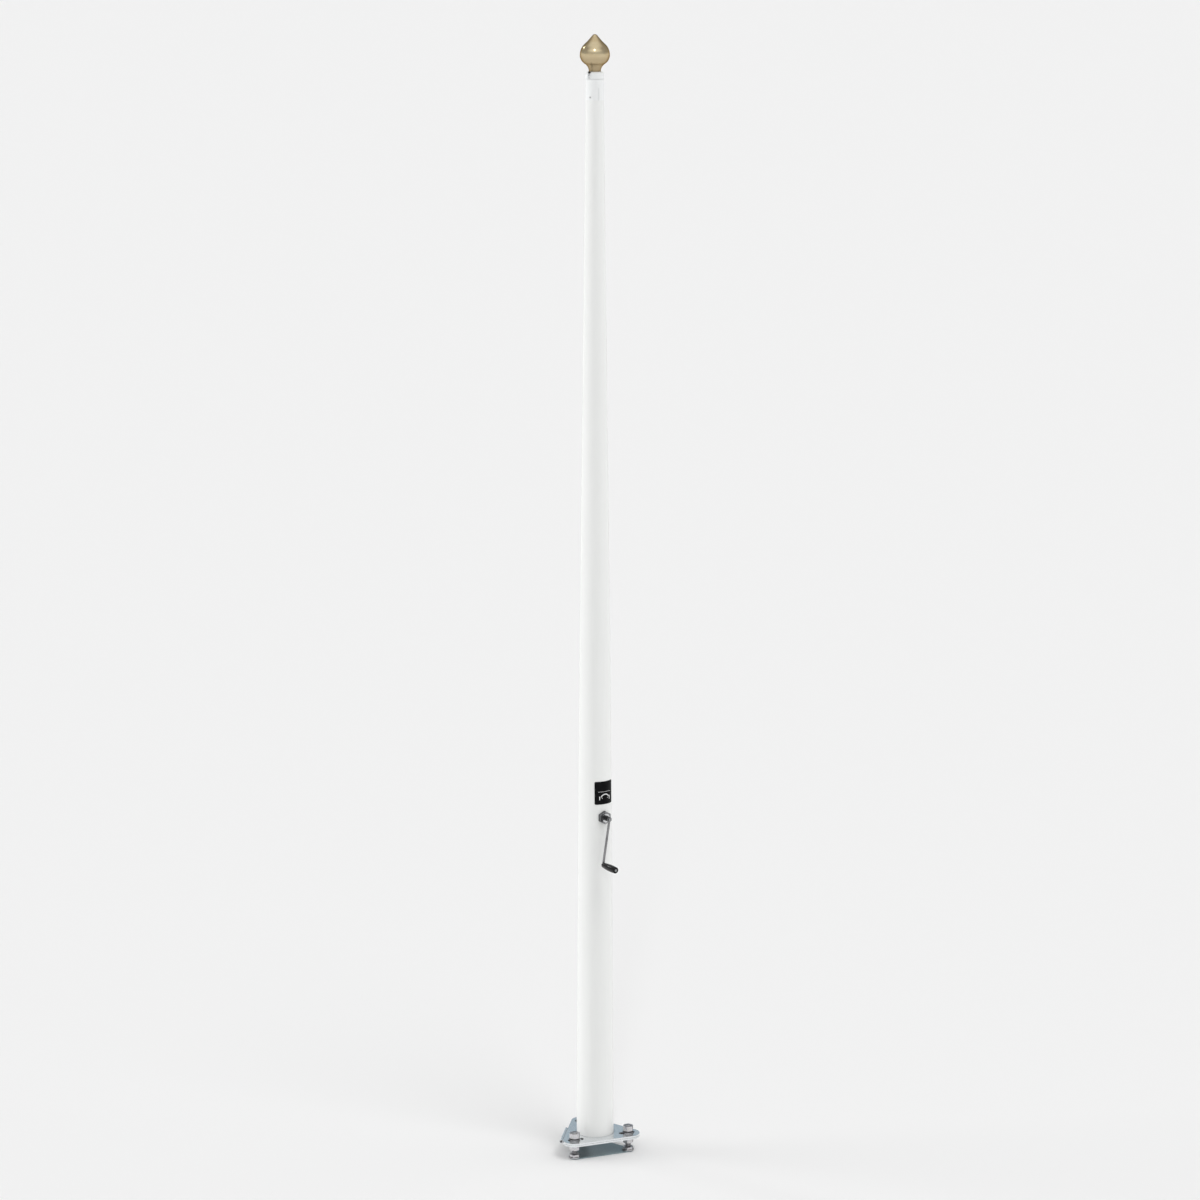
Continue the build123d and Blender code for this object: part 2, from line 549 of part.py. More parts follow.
def build():
    """Every piece by the name of its node."""
    envelope = mast_envelope(0)
    surface = mast_radius(CRANK_HEIGHT)
    hub_start = surface + HOUSING_PROUD + BEARING_FLANGE_THICKNESS + HUB_GAP
    arm_back = hub_start + HUB_LENGTH
    arm_front = arm_back + ARM_THICKNESS
    shaft_back = surface - SHAFT_TAIL
    bore_radius = stud_bore_radius()
    grip_start = arm_front + GRIP_END_GAP
    cap_start = grip_start + GRIP_LENGTH - GRIP_RECESS_DEPTH + GRIP_END_GAP
    cap_radius = GRIP_RECESS_DIAMETER / 2 - GRIP_CAP_GAP
    pieces = {
        "ground_plate": ground_plate(),
        "hinge_plate": hinge_plate(),
        "hinge_pin": hinge_pin(),
        "base_flange": base_flange(),
        "spigot_tube": spigot_tube(),
        "mast": mast(envelope),
        "instruction_label": instruction_label(),
        "winch_housing": winch_housing(envelope, surface),
        "crank_bearing": crank_bearing(surface),
        "crank_shaft": outward_cylinder(SHAFT_DIAMETER / 2, shaft_back, arm_front + SHAFT_END_PROUD),
        "crank_hub": outward_cylinder(HUB_DIAMETER / 2, hub_start, arm_back)
        - outward_cylinder(SHAFT_DIAMETER / 2, hub_start, arm_back),
        "crank_arm": crank_arm(arm_back),
        "grip_pin": at_grip(GRIP_PIN_DIAMETER / 2, arm_back, cap_start),
        "handle_grip": handle_grip(grip_start),
        "grip_end_cap": at_grip(cap_radius, cap_start, cap_start + GRIP_CAP_LENGTH),
        "head_sleeve": head_sleeve(),
        "sleeve_screw": sleeve_screw(),
        "truck_cap": truck_cap(),
        "halyard_stopper": stop_ball() - halyard_eye(),
        "halyard_eye": halyard_eye(),
        "snap_link": snap_link(),
        "finial_stud": finial_stud(),
        "finial": finial(),
    }
    for side in STUD_AZIMUTHS:
        pieces[f"anchor_stud_{side}"] = at_stud(side, anchor_stud())
        pieces[f"low_nut_{side}"] = at_stud(side, low_nut())
        levelling_nut = hexagon_nut(LEVELLING_NUT_BOTTOM, NUT_HEIGHT, bore_radius)
        clamp_nut = hexagon_nut(SPRING_WASHER_TOP, NUT_HEIGHT, bore_radius)
        pieces[f"levelling_nut_{side}"] = at_stud(side, levelling_nut)
        pieces[f"levelling_washer_{side}"] = at_stud(side, washer(LEVELLING_WASHER_BOTTOM))
        pieces[f"clamp_washer_{side}"] = at_stud(side, washer(FLANGE_TOP))
        pieces[f"spring_washer_{side}"] = at_stud(side, spring_washer(CLAMP_WASHER_TOP))
        pieces[f"clamp_nut_{side}"] = at_stud(side, clamp_nut)
    return pieces


os.makedirs("parts", exist_ok=True)
for name, shape in build().items():
    shape.label = name
    export_step(shape, f"parts/{name}.step")
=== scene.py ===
import json
import math

import bpy
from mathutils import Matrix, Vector


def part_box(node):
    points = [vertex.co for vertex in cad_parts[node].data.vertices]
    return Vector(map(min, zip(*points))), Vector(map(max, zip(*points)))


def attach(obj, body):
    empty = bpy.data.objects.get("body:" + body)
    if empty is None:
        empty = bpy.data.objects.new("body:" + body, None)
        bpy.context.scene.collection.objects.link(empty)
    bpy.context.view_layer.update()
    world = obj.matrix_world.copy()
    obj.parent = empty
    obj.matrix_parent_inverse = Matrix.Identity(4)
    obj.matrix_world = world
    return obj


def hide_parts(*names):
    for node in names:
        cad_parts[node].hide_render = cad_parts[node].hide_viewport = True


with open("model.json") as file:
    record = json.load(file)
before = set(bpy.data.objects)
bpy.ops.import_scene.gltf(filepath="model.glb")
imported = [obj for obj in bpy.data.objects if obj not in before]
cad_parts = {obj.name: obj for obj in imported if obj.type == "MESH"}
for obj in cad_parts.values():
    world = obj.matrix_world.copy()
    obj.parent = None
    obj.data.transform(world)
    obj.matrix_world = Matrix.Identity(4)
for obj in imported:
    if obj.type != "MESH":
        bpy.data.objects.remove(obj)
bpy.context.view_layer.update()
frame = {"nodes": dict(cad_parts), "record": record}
NODES = frame["nodes"]

# Photograph's framing, in pixels of its 1200 x 1200 frame
FRAME_PX = 1200
FOCAL_PX = 3489.7
AXIS_LEFT_OF_MIDDLE_PX = 5.0

# Camera, in metres, with angles in degrees
CAMERA_AZIMUTH = -32.0
CAMERA_DISTANCE = 14.5
CAMERA_HEIGHT = 5.4
CAMERA_PITCH = 11.49
CAMERA_REACH = 500
SENSOR_MM = 36.0

# Studio
PALE = (0.888, 0.888, 0.888, 1)
FLOOR_COLOUR = PALE
BACKDROP_COLOUR = PALE
SKY_COLOUR = (0.595, 0.595, 0.595, 1)
FLOOR_HALF_WIDTH = 400
# Colours of the walls that mirrors show, by the height of a direction from 0 level to 1 overhead
NEAR_WALL_STOPS = [
    (0.06, PALE),
    (0.20, (0.560, 0.570, 0.580, 1)),
    (0.38, (0.560, 0.570, 0.580, 1)),
    (0.52, (1.000, 1.000, 1.000, 1)),
]
SIDE_WALL_STOPS = [
    (0.02, PALE),
    (0.16, (0.400, 0.410, 0.420, 1)),
    (0.70, (0.360, 0.350, 0.340, 1)),
    (0.95, (0.800, 0.800, 0.800, 1)),
]
FAR_WALL_STOPS = [
    (0.10, PALE),
    (0.26, (0.330, 0.430, 0.500, 1)),
    (0.50, (0.330, 0.400, 0.450, 1)),
    (0.95, (0.800, 0.800, 0.800, 1)),
]
# Where one wall turns into the next: -1 at the near wall, 0 at the sides and 1 at the far wall
NEAR_CORNER = (-0.80, -0.20)
FAR_CORNER = (0.72, 0.92)
# Azimuth, elevation, strength, spread, and whether mirrors show the lamp, with angles in degrees
LAMPS = {
    "key": (8.0, 62.0, 0.75, 24.0, False),
    "front": (-35.0, 40.0, 0.18, 4.0, True),
    "left_rim": (-128.0, 12.0, 1.32, 30.0, False),
    "right_rim": (72.0, 15.0, 0.55, 50.0, False),
    "back": (-158.0, 29.0, 0.12, 7.0, True),
}

# Heights above the finial's foot where its dull gold ends and its brown gold fades, in metres
GOLD_DULL_HEIGHT = 0.050
GOLD_BROWN_HEIGHTS = (0.052, 0.078)

# Anchor studs, in metres, with the flat of a thread's crest or root as a share of its pitch
STUD_SIDES = ("left", "right", "rear")
THREAD_PITCH = 0.003
THREAD_DEPTH = 0.0017
THREAD_FLAT = 0.125
THREAD_STEPS = 36
STUD_END_CHAMFER = 0.002

# Print on the label, in metres, with the arrow's half sweep in degrees
PRINT_STEPS = 40
PRINT_LIFT = 0.00005
ARROW_RADIUS = 0.0225
ARROW_WIDTH = 0.0042
ARROW_DROP = 0.0290
ARROW_SWEEP = 62.0
ARROW_HEAD_LENGTH = 0.0150
ARROW_HEAD_WIDTH = 0.0190
RULE_HEIGHT = 0.005
RULE_HALF_LENGTH = 0.033
RULE_HALF_WIDTH = 0.0005

# Cross-recessed head of the sleeve's screw, in metres
SCREW_DOME = 0.0005
SCREW_RECESS_REACH = 0.0022
SCREW_RECESS_HALF_WIDTH = 0.00045
SCREW_RECESS_DEPTH = 0.0009
SCREW_SKIRT = 4 * SCREW_RECESS_DEPTH
SCREW_RINGS = 22
SCREW_SEGMENTS = 64

# Rays that look for a crevice
CREVICE_SAMPLES = 8

# Places of the colour sockets on a mix node, whose names the number sockets share
MIX_FACTOR = 0
MIX_LOW = 6
MIX_HIGH = 7
MIX_RESULT = 2


# Node trees
def feed(tree, value, socket):
    """Link an output to a socket, or set the socket's own value."""
    if isinstance(value, bpy.types.NodeSocket):
        tree.links.new(value, socket)
    else:
        socket.default_value = value


def put(tree, kind, sockets, **settings):
    """Node of a kind with its settings and sockets filled in."""
    node = tree.nodes.new(kind)
    for name, value in settings.items():
        setattr(node, name, value)
    for name, value in sockets.items():
        feed(tree, value, node.inputs[name])
    return node


def place(tree, stretch=(1, 1, 1)):
    """Point on the object in metres, with each axis stretched."""
    point = tree.nodes.new("ShaderNodeTexCoord").outputs["Object"]
    return put(tree, "ShaderNodeMapping", {"Vector": point, "Scale": stretch}).outputs["Vector"]


def noise(tree, scale, detail=3.0, roughness=0.5, stretch=(1, 1, 1)):
    """Cloudy value about 0.5, finer with a larger scale and drawn out where the stretch is small."""
    sockets = {
        "Vector": place(tree, stretch),
        "Scale": scale,
        "Detail": detail,
        "Roughness": roughness,
    }
    return put(tree, "ShaderNodeTexNoise", sockets).outputs["Fac"]


def spread(tree, value, to, source=(0.0, 1.0)):
    """Value carried from its source range to another range."""
    sockets = {
        "Value": value,
        "From Min": source[0],
        "From Max": source[1],
        "To Min": to[0],
        "To Max": to[1],
    }
    return put(tree, "ShaderNodeMapRange", sockets).outputs["Result"]


def blend(tree, factor, low, high):
    """Colour that goes from low to high as the factor goes from 0 to 1."""
    node = put(tree, "ShaderNodeMix", {}, data_type="RGBA")
    feed(tree, factor, node.inputs[MIX_FACTOR])
    feed(tree, low, node.inputs[MIX_LOW])
    feed(tree, high, node.inputs[MIX_HIGH])
    return node.outputs[MIX_RESULT]


def ramp(tree, factor, stops):
    """Colour from a ramp of (position, colour) stops."""
    node = put(tree, "ShaderNodeValToRGB", {"Fac": factor})
    elements = node.color_ramp.elements
    while len(elements) < len(stops):
        elements.new(0.5)
    for element, (position, colour) in zip(elements, stops):
        element.position = position
        element.color = colour
    return node.outputs["Color"]


def maths(tree, operation, first, second):
    """Sum, maximum or another operation on two values."""
    return put(tree, "ShaderNodeMath", {0: first, 1: second}, operation=operation).outputs["Value"]


def add(tree, first, second):
    """Sum of two values."""
    return maths(tree, "ADD", first, second)


def bump(tree, height, distance, strength):
    """Surface direction tilted by a height that spans a distance in metres."""
    sockets = {"Height": height, "Distance": distance, "Strength": strength}
    return put(tree, "ShaderNodeBump", sockets).outputs["Normal"]


def crevice(tree, reach):
    """1 in the open, falling to 0 in gaps narrower than the reach."""
    node = put(tree, "ShaderNodeAmbientOcclusion", {"Distance": reach}, samples=CREVICE_SAMPLES)
    return node.outputs["AO"]


def new_material(name, sockets_of):
    """Material whose Principled shader takes what sockets_of(tree) gives."""
    material = bpy.data.materials.new(name)
    material.use_nodes = True
    tree = material.node_tree
    shader = tree.nodes["Principled BSDF"]
    for socket, value in sockets_of(tree).items():
        feed(tree, value, shader.inputs[socket])
    return material


# Finishes
def gel_coat(tree):
    """White gel coat over wound glass fibre: mottled a little, with an orange-peel gloss."""
    mottle = noise(tree, 5.0, detail=4.0, roughness=0.6, stretch=(1, 1, 0.25))
    colour = blend(tree, mottle, (0.840, 0.850, 0.836, 1), (0.885, 0.893, 0.882, 1))
    streaks = noise(tree, 60.0, detail=4.0, roughness=0.6, stretch=(1, 1, 0.04))
    stained = spread(tree, streaks, (0.0, 0.10), source=(0.55, 0.80))
    peel = noise(tree, 420.0, detail=2.0)
    wound = noise(tree, 45.0, detail=2.0, stretch=(1, 1, 0.3))
    relief = add(tree, spread(tree, peel, (0.0, 0.25)), wound)
    return {
        "Base Color": blend(tree, stained, colour, (0.62, 0.61, 0.57, 1)),
        "Roughness": spread(tree, noise(tree, 90.0, detail=4.0), (0.24, 0.38)),
        "Coat Weight": 0.35,
        "Coat Roughness": 0.12,
        "Normal": bump(tree, relief, distance=0.00035, strength=0.4),
    }


def moulded_nylon(tree):
    """Cool white nylon with a fine moulded grain, with painted shade that greys it in the gaps."""
    tint = noise(tree, 35.0, detail=4.0, roughness=0.6)
    colour = blend(tree, tint, (0.850, 0.864, 0.864, 1), (0.890, 0.902, 0.904, 1))
    # Painted shade: the nylon turns grey where it lies in a narrow gap
    painted_gap_shade = spread(tree, crevice(tree, 0.006), (0.60, 0.0), source=(0.0, 0.85))
    return {
        "Base Color": blend(tree, painted_gap_shade, colour, (0.33, 0.34, 0.34, 1)),
        "Roughness": spread(tree, noise(tree, 300.0), (0.34, 0.50)),
        "Normal": bump(tree, noise(tree, 1400.0, detail=2.0), distance=0.00008, strength=0.5),
    }


def label_vinyl(tree):
    """Black printed vinyl, faded a little in patches."""
    clouds = noise(tree, 60.0, detail=5.0, roughness=0.65)
    fade = spread(tree, clouds, (0.0, 1.0), source=(0.35, 0.75))
    return {
        "Base Color": blend(tree, fade, (0.003, 0.003, 0.0035, 1), (0.008, 0.008, 0.009, 1)),
        "Roughness": spread(tree, noise(tree, 500.0), (0.32, 0.46)),
        "Specular IOR Level": 0.06,
        "Normal": bump(tree, noise(tree, 900.0, detail=2.0), distance=0.00006, strength=0.4),
    }


def white_ink(tree):
    """Screen-printed white with small pinholes."""
    pinholes = spread(tree, noise(tree, 1600.0, detail=2.0), (1.0, 0.0), source=(0.24, 0.34))
    return {
        "Base Color": blend(tree, pinholes, (0.80, 0.81, 0.81, 1), (0.20, 0.20, 0.21, 1)),
        "Roughness": spread(tree, noise(tree, 700.0), (0.38, 0.52)),
    }


def moulded_black(tree):
    """Glossy black plastic with flow marks and faint handling scratches."""
    flow = noise(tree, 70.0, detail=5.0, roughness=0.6, stretch=(1, 0.3, 1))
    scratches = noise(tree, 900.0, detail=2.0, roughness=0.6, stretch=(1, 0.05, 1))
    return {
        "Base Color": blend(tree, flow, (0.003, 0.003, 0.0033, 1), (0.008, 0.008, 0.0085, 1)),
        "Roughness": spread(tree, add(tree, flow, scratches), (0.07, 0.15), source=(0.6, 1.4)),
        "Specular IOR Level": 0.26,
        "Normal": bump(tree, scratches, distance=0.00005, strength=0.35),
    }


def black_rubber(tree):
    """Matt black rubber with a soft bloom."""
    clouds = noise(tree, 500.0, detail=4.0, roughness=0.6)
    bloom = spread(tree, clouds, (0.0, 1.0), source=(0.4, 0.8))
    return {
        "Base Color": blend(tree, bloom, (0.004, 0.004, 0.004, 1), (0.020, 0.020, 0.021, 1)),
        "Roughness": spread(tree, bloom, (0.42, 0.62)),
        "Specular IOR Level": 0.25,
        "Normal": bump(tree, noise(tree, 1800.0), distance=0.00006, strength=0.5),
    }


def galvanised(tree):
    """Hot-dip zinc: blue-grey crystals of differing tone, with painted shade that darkens it in the
    gaps.
    """
    sockets = {"Vector": place(tree), "Scale": 95.0, "Randomness": 1.0}
    crystal = put(tree, "ShaderNodeTexVoronoi", sockets)
    tint = put(tree, "ShaderNodeSeparateColor", {"Color": crystal.outputs["Color"]}).outputs["Red"]
    clouds = noise(tree, 22.0, detail=5.0, roughness=0.6)
    patches = spread(tree, clouds, (0.0, 0.55), source=(0.25, 0.75))
    tone = add(tree, spread(tree, tint, (0.0, 0.45)), patches)
    colour = blend(tree, tone, (0.780, 0.810, 0.830, 1), (0.870, 0.885, 0.895, 1))
    # Painted shade: near black in gaps and where the plate meets the mast
    painted_shade = spread(tree, crevice(tree, 0.014), (0.95, 0.0), source=(0.20, 0.80))
    grain = add(tree, crystal.outputs["Distance"], noise(tree, 400.0))
    return {
        "Base Color": blend(tree, painted_shade, colour, (0.040, 0.046, 0.052, 1)),
        "Metallic": 0.90,
        "Roughness": spread(tree, tone, (0.17, 0.27)),
        "Normal": bump(tree, grain, distance=0.00003, strength=0.3),
    }


def weathered_and_shaded_zinc(tree):
    """Dull zinc, teal where it is open and darker where stained, with painted shadow that darkens it
    to slate deep under the flange.
    """
    clouds = noise(tree, 26.0, detail=5.0, roughness=0.6)
    patches = spread(tree, clouds, (0.0, 1.0), source=(0.25, 0.75))
    stain = noise(tree, 140.0, detail=4.0, roughness=0.6)
    stained = spread(tree, stain, (0.0, 0.5), source=(0.5, 0.8))
    colour = blend(tree, patches, (0.340, 0.450, 0.480, 1), (0.400, 0.510, 0.540, 1))
    colour = blend(tree, stained, colour, (0.24, 0.28, 0.29, 1))
    # Painted shadow: dark slate where the flange above shelters the plate
    painted_sheltered_shade = spread(tree, crevice(tree, 0.120), (0.90, 0.0), source=(0.10, 0.75))
    return {
        "Base Color": blend(tree, painted_sheltered_shade, colour, (0.095, 0.115, 0.125, 1)),
        "Metallic": 0.75,
        "Roughness": spread(tree, stain, (0.28, 0.45)),
        "Normal": bump(tree, stain, distance=0.00006, strength=0.4),
    }


def zinc_plate(tree):
    """Bright zinc plate with a faint violet and straw tint, with painted shade that darkens it in
    the gaps.
    """
    tint = noise(tree, 120.0, roughness=0.6)
    colour = ramp(tree, tint, [
        (0.32, (0.46, 0.44, 0.49, 1)),
        (0.50, (0.74, 0.735, 0.75, 1)),
        (0.68, (0.58, 0.57, 0.545, 1)),
    ])
    # Painted shade: near black in the gaps between nuts, washers and plate
    painted_shade = spread(tree, crevice(tree, 0.014), (0.97, 0.0), source=(0.15, 0.88))
    return {
        "Base Color": blend(tree, painted_shade, colour, (0.030, 0.031, 0.035, 1)),
        "Metallic": 0.92,
        "Specular Tint": (0.200, 0.200, 0.210, 1),
        "Roughness": spread(tree, noise(tree, 500.0, detail=4.0), (0.22, 0.40)),
        "Normal": bump(tree, noise(tree, 900.0), distance=0.00008, strength=0.4),
    }


def spring_steel(tree):
    """Oiled spring steel with a dark heat tint."""
    tint = noise(tree, 160.0, detail=4.0, roughness=0.6)
    return {
        "Base Color": blend(tree, tint, (0.045, 0.047, 0.055, 1), (0.150, 0.148, 0.150, 1)),
        "Metallic": 0.85,
        "Roughness": spread(tree, noise(tree, 600.0), (0.30, 0.50)),
        "Normal": bump(tree, noise(tree, 900.0), distance=0.00008, strength=0.5),
    }


def polished_steel(tree):
    """Polished steel with fine polishing lines, with painted shade that turns it black in the gaps.
    """
    lines = noise(tree, 260.0, roughness=0.6, stretch=(1, 1, 0.06))
    tint = spread(tree, lines, (0.0, 1.0), source=(0.3, 0.7))
    colour = blend(tree, tint, (0.10, 0.101, 0.107, 1), (0.40, 0.402, 0.41, 1))
    # Painted shade: black in the gaps
    painted_shade = spread(tree, crevice(tree, 0.020), (1.0, 0.0), source=(0.35, 0.85))
    return {
        "Base Color": blend(tree, painted_shade, colour, (0.010, 0.010, 0.011, 1)),
        "Metallic": 1.0,
        "Specular Tint": (0.100, 0.100, 0.105, 1),
        "Roughness": spread(tree, lines, (0.10, 0.24), source=(0.3, 0.7)),
        "Normal": bump(tree, lines, distance=0.00005, strength=0.35),
    }


def turned_steel(tree):
    """Bright turned steel, with painted shade that darkens it where it meets its neighbours."""
    lines = noise(tree, 320.0, roughness=0.6)
    colour = blend(tree, lines, (0.56, 0.565, 0.575, 1), (0.76, 0.765, 0.775, 1))
    # Painted shade: near black where the bearing meets its neighbours
    painted_shade = spread(tree, crevice(tree, 0.005), (1.0, 0.0), source=(0.30, 0.80))
    return {
        "Base Color": blend(tree, painted_shade, colour, (0.010, 0.010, 0.011, 1)),
        "Metallic": 1.0,
        "Specular Tint": (0.200, 0.200, 0.210, 1),
        "Roughness": spread(tree, lines, (0.12, 0.26), source=(0.3, 0.7)),
        "Normal": bump(tree, lines, distance=0.00004, strength=0.35),
    }


def anodised_gold(tree):
    """Pale gold anodised over spun aluminium, warmer in patches, duller and browner at its foot,
    with painted shade that darkens it where it is sheltered.
    """
    rings = noise(tree, 700.0, detail=2.0, stretch=(0.02, 0.02, 1))
    clouds = noise(tree, 24.0, detail=4.0, roughness=0.6)
    warm = spread(tree, clouds, (0.0, 1.0), source=(0.45, 0.75))
    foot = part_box("finial")[0].z
    brown_heights = [foot + height for height in GOLD_BROWN_HEIGHTS]
    height = put(tree, "ShaderNodeSeparateXYZ", {"Vector": place(tree)}).outputs["Z"]
    brown = spread(tree, height, (1.0, 0.0), source=brown_heights)
    dulled = spread(tree, height, (0.30, 0.0), source=(foot, foot + GOLD_DULL_HEIGHT))
    sheen = spread(tree, add(tree, rings, clouds), (0.14, 0.24), source=(0.6, 1.4))
    colour = blend(tree, warm, (0.740, 0.620, 0.400, 1), (0.640, 0.500, 0.290, 1))
    colour = blend(tree, brown, colour, (0.530, 0.425, 0.265, 1))
    # Painted shade: dark brown where nearby parts shelter the gold
    painted_sheltered_shade = spread(tree, crevice(tree, 0.060), (0.85, 0.0), source=(0.40, 1.0))
    return {
        "Base Color": blend(tree, painted_sheltered_shade, colour, (0.230, 0.160, 0.085, 1)),
        "Metallic": 1.0,
        "Specular Tint": (0.300, 0.200, 0.120, 1),
        "Roughness": add(tree, sheen, dulled),
        "Normal": bump(tree, rings, distance=0.00005, strength=0.3),
    }


# Finish of each material slot, and of the nodes that differ from their slot
FINISHES = {
    "white_fibreglass": gel_coat,
    "white_nylon": moulded_nylon,
    "black_label": label_vinyl,
    "black_plastic": moulded_black,
    "black_rubber": black_rubber,
    "galvanised_steel": galvanised,
    "zinc_steel": zinc_plate,
    "dark_steel": spring_steel,
    "polished_steel": polished_steel,
    "gold": anodised_gold,
}
NODE_FINISHES = {
    "ground_plate": weathered_and_shaded_zinc,
    "hinge_pin": spring_steel,
    "crank_bearing": turned_steel,
    "halyard_eye": galvanised,
    "snap_link": galvanised,
}


def finish_nodes(finishes):
    """Give each node its own finish, or that of its material slot."""
    own = {name: new_material(name, sockets_of) for name, sockets_of in NODE_FINISHES.items()}
    for subpart in frame["record"]["subparts"]:
        name = subpart["node"]
        materials = NODES[name].data.materials
        materials.clear()
        materials.append(own.get(name) or finishes[subpart["material_slot"]])


# Pieces
def mesh_object(name, vertices, faces, material):
    """Flat-shaded piece with one material."""
    mesh = bpy.data.meshes.new(name)
    mesh.from_pydata(vertices, [], faces)
    mesh.materials.append(material)
    piece = bpy.data.objects.new(name, mesh)
    bpy.context.scene.collection.objects.link(piece)
    return piece


def corners_of(node):
    """Corners of a node's solid."""
    return [vertex.co for vertex in NODES[node].data.vertices]


def threaded_stud(side, material):
    """Stud with a real helical thread and a chamfered end, in place of the plain cylinder."""
    low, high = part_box(f"anchor_stud_{side}")
    centre = (low + high) / 2
    major = (high.x - low.x) / 2
    minor = major - THREAD_DEPTH
    tooth = [(major, 0.0), (major, THREAD_FLAT), (minor, 0.5), (minor, 0.5 + THREAD_FLAT)]
    # The turn beyond each end is pressed flat onto it
    turns = int((high.z - low.z) / THREAD_PITCH) + 2
    count = turns * THREAD_STEPS
    vertices = []
    for step in range(count):
        angle = math.tau * step / THREAD_STEPS
        for radius, rise in tooth:
            z = low.z + THREAD_PITCH * (step / THREAD_STEPS - 1 + rise)
            z = min(max(z, low.z), high.z)
            radius = min(radius, major - max(0.0, z - (high.z - STUD_END_CHAMFER)))
            x = centre.x + radius * math.cos(angle)
            y = centre.y + radius * math.sin(angle)
            vertices.append((x, y, z))
    faces = []
    row = len(tooth)
    for step in range(count - 1):
        here = step * row
        for k in range(row - 1):
            faces.append((here + k, here + row + k, here + row + k + 1, here + k + 1))
        above = here + THREAD_STEPS * row
        if above + row < len(vertices):
            faces.append((here + row - 1, here + 2 * row - 1, above + row, above))
    first_top = len(vertices) - THREAD_STEPS * row
    faces.append([first_top + k * row for k in range(THREAD_STEPS)])
    piece = mesh_object(f"threaded_stud_{side}", vertices, faces, material)
    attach(piece, "pole")
    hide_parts(f"anchor_stud_{side}")


class Label:
    """Curved sheet on the mast, measured from its solid."""

    def __init__(self):
        low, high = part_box("instruction_label")
        corners = corners_of("instruction_label")
        angles = [math.atan2(corner.x, -corner.y) for corner in corners]
        self.radius = max(math.hypot(corner.x, corner.y) for corner in corners)
        self.azimuth = (min(angles) + max(angles)) / 2
        self.middle_z = (low.z + high.z) / 2

    def point(self, x, z):
        """Point just off the sheet's face at a distance across and up from its middle."""
        angle = self.azimuth + x / self.radius
        radius = self.radius + PRINT_LIFT
        return (radius * math.sin(angle), -radius * math.cos(angle), self.middle_z + z)

    def print_strip(self, name, pairs, tips, material):
        """Printed strip through pairs of (x, z) points, with triangles of three such points."""
        flat = [corner for pair in pairs for corner in pair]
        faces = [(2 * k, 2 * k + 2, 2 * k + 3, 2 * k + 1) for k in range(len(pairs) - 1)]
        for tip in tips:
            faces.append((len(flat), len(flat) + 1, len(flat) + 2))
            flat += tip
        piece = mesh_object(name, [self.point(x, z) for x, z in flat], faces, material)
        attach(piece, "pole")


def arrow(label, material):
    """Curved double-headed arrow that shows that the crank turns both ways."""
    inner = ARROW_RADIUS - ARROW_WIDTH / 2
    outer = ARROW_RADIUS + ARROW_WIDTH / 2
    pairs = []
    for k in range(PRINT_STEPS + 1):
        angle = math.radians(-ARROW_SWEEP + 2 * ARROW_SWEEP * k / PRINT_STEPS)
        x, z = math.sin(angle), math.cos(angle)
        pairs.append([(radius * x, radius * z - ARROW_DROP) for radius in (inner, outer)])
    barb = ARROW_HEAD_WIDTH / 2
    tips = []
    for sign in (-1, 1):
        angle = math.radians(sign * ARROW_SWEEP)
        x, z = math.sin(angle), math.cos(angle)
        tip = []
        for out, ahead in ((-barb, 0), (barb, 0), (0, sign * ARROW_HEAD_LENGTH)):
            radius = ARROW_RADIUS + out
            tip.append((x * radius + z * ahead, z * radius - x * ahead - ARROW_DROP))
        tips.append(tip)
    label.print_strip("label_arrow", pairs, tips, material)


def rule(label, material):
    """Thin printed line across the label."""
    low = RULE_HEIGHT - RULE_HALF_WIDTH
    high = RULE_HEIGHT + RULE_HALF_WIDTH
    across = [RULE_HALF_LENGTH * (2 * k / PRINT_STEPS - 1) for k in range(PRINT_STEPS + 1)]
    label.print_strip("label_rule", [[(x, low), (x, high)] for x in across], [], material)


def screw_head(material):
    """Domed head with a cross recess, in place of the plain screw."""
    low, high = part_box("sleeve_screw")
    reach = max(math.hypot(corner.x, corner.y) for corner in corners_of("sleeve_screw"))
    radius = (high.z - low.z) / 2
    middle = (low + high) / 2
    azimuth = math.atan2(middle.x, -middle.y)
    up = Vector((0, 0, 1))
    out = Vector((math.sin(azimuth), -math.cos(azimuth), 0))
    across = Vector((math.cos(azimuth), math.sin(azimuth), 0))
    face_distance = math.sqrt(reach ** 2 - radius ** 2)
    origin = up * middle.z + out * face_distance
    vertices = []
    for ring in range(SCREW_RINGS + 1):
        r = radius * ring / SCREW_RINGS
        for k in range(SCREW_SEGMENTS):
            angle = math.tau * k / SCREW_SEGMENTS
            x, z = r * math.cos(angle), r * math.sin(angle)
            narrow, wide = sorted((abs(x), abs(z)))
            in_cross = narrow < SCREW_RECESS_HALF_WIDTH and wide < SCREW_RECESS_REACH
            height = -SCREW_DOME * (r / radius) ** 2 - (SCREW_RECESS_DEPTH if in_cross else 0.0)
            vertices.append(origin + across * x + up * z + out * height)
    for k in range(SCREW_SEGMENTS):
        angle = math.tau * k / SCREW_SEGMENTS
        x, z = radius * math.cos(angle), radius * math.sin(angle)
        vertices.append(origin + across * x + up * z - out * SCREW_SKIRT)
    faces = []
    for ring in range(SCREW_RINGS + 1):
        for k in range(SCREW_SEGMENTS):
            here = ring * SCREW_SEGMENTS + k
            beside = ring * SCREW_SEGMENTS + (k + 1) % SCREW_SEGMENTS
            faces.append((here, beside, beside + SCREW_SEGMENTS, here + SCREW_SEGMENTS))
    piece = mesh_object("screw_head", vertices, faces, material)
    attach(piece, "pole")
    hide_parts("sleeve_screw")


# Camera and studio
def heading(azimuth):
    """Level unit vector from the mast towards an azimuth."""
    angle = math.radians(azimuth)
    return Vector((math.sin(angle), -math.cos(angle), 0))


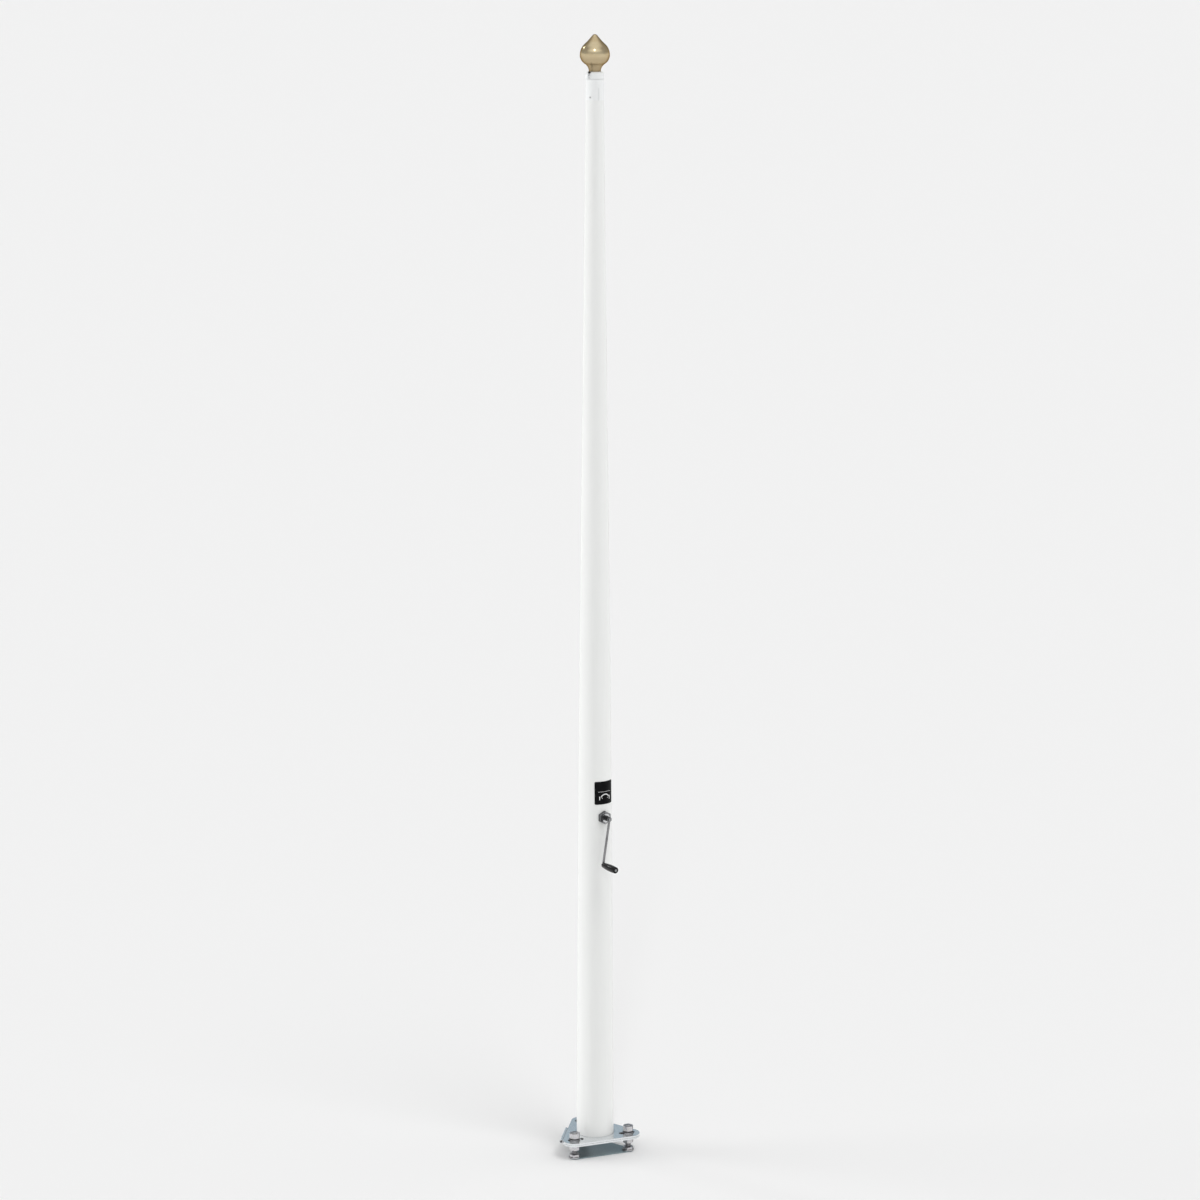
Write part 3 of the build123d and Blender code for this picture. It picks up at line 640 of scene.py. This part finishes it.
def make_camera():
    """Camera at the photograph's angle, with the mast just left of the middle."""
    data = bpy.data.cameras.new("camera")
    data.sensor_width = SENSOR_MM
    data.lens = FOCAL_PX / FRAME_PX * SENSOR_MM
    data.clip_end = CAMERA_REACH
    camera = bpy.data.objects.new("camera", data)
    bpy.context.scene.collection.objects.link(camera)
    out = heading(CAMERA_AZIMUTH)
    right = Vector((-out.y, out.x, 0))
    camera.location = out * CAMERA_DISTANCE + Vector((0, 0, CAMERA_HEIGHT))
    pitch = math.radians(CAMERA_PITCH)
    metres_per_px = CAMERA_DISTANCE / math.cos(pitch) / FOCAL_PX
    target = Vector((0, 0, CAMERA_HEIGHT - CAMERA_DISTANCE * math.tan(pitch)))
    target += right * AXIS_LEFT_OF_MIDDLE_PX * metres_per_px
    camera.rotation_euler = (target - camera.location).to_track_quat("-Z", "Y").to_euler()
    bpy.context.scene.camera = camera


def floor_finish(tree):
    """Pale matt studio floor."""
    return {"Base Color": FLOOR_COLOUR, "Roughness": 0.95, "Specular IOR Level": 0.0}


def make_floor():
    """Wide pale floor that fills the view."""
    half = FLOOR_HALF_WIDTH
    corners = [(-half, -half, 0), (half, -half, 0), (half, half, 0), (-half, half, 0)]
    mesh_object("floor", corners, [(0, 1, 2, 3)], new_material("floor", floor_finish))


def make_lamp(name, azimuth, elevation, energy, spread_angle, mirrored):
    """Soft distant lamp that shines from an azimuth and elevation."""
    data = bpy.data.lights.new(name, "SUN")
    data.energy = energy
    data.angle = math.radians(spread_angle)
    lamp = bpy.data.objects.new(name, data)
    rise = math.radians(elevation)
    towards = heading(azimuth) * math.cos(rise) + Vector((0, 0, math.sin(rise)))
    lamp.rotation_euler = towards.to_track_quat("Z", "Y").to_euler()
    lamp.visible_glossy = mirrored
    bpy.context.scene.collection.objects.link(lamp)


def make_world():
    """Even soft light on a pale backdrop; mirrors see a studio with darker side and far walls."""
    world = bpy.data.worlds.new("studio")
    world.use_nodes = True
    tree = world.node_tree
    direction = tree.nodes.new("ShaderNodeTexCoord").outputs["Generated"]
    rise = put(tree, "ShaderNodeSeparateXYZ", {"Vector": direction}).outputs["Z"]
    to_far_wall = {0: direction, 1: -heading(CAMERA_AZIMUTH)}
    dot = put(tree, "ShaderNodeVectorMath", to_far_wall, operation="DOT_PRODUCT")
    walls = ramp(tree, rise, NEAR_WALL_STOPS)
    for corner, stops in ((NEAR_CORNER, SIDE_WALL_STOPS), (FAR_CORNER, FAR_WALL_STOPS)):
        past_corner = spread(tree, dot.outputs["Value"], (0.0, 1.0), source=corner)
        walls = blend(tree, past_corner, walls, ramp(tree, rise, stops))
    path = tree.nodes.new("ShaderNodeLightPath").outputs
    mirrored = maths(tree, "MAXIMUM", path["Is Glossy Ray"], path["Is Transmission Ray"])
    lit = blend(tree, mirrored, SKY_COLOUR, walls)
    colour = blend(tree, path["Is Camera Ray"], lit, BACKDROP_COLOUR)
    feed(tree, colour, tree.nodes["Background"].inputs["Color"])
    bpy.context.scene.world = world


FINISHED = {slot: new_material(slot, sockets_of) for slot, sockets_of in FINISHES.items()}
finish_nodes(FINISHED)
for stud_side in STUD_SIDES:
    threaded_stud(stud_side, FINISHED["zinc_steel"])
label_sheet = Label()
ink = new_material("white_ink", white_ink)
arrow(label_sheet, ink)
rule(label_sheet, ink)
screw_head(FINISHED["zinc_steel"])

make_camera()
make_floor()
make_world()
for lamp_name, lamp_values in LAMPS.items():
    make_lamp(lamp_name, *lamp_values)

bpy.context.scene.view_settings.view_transform = "Standard"
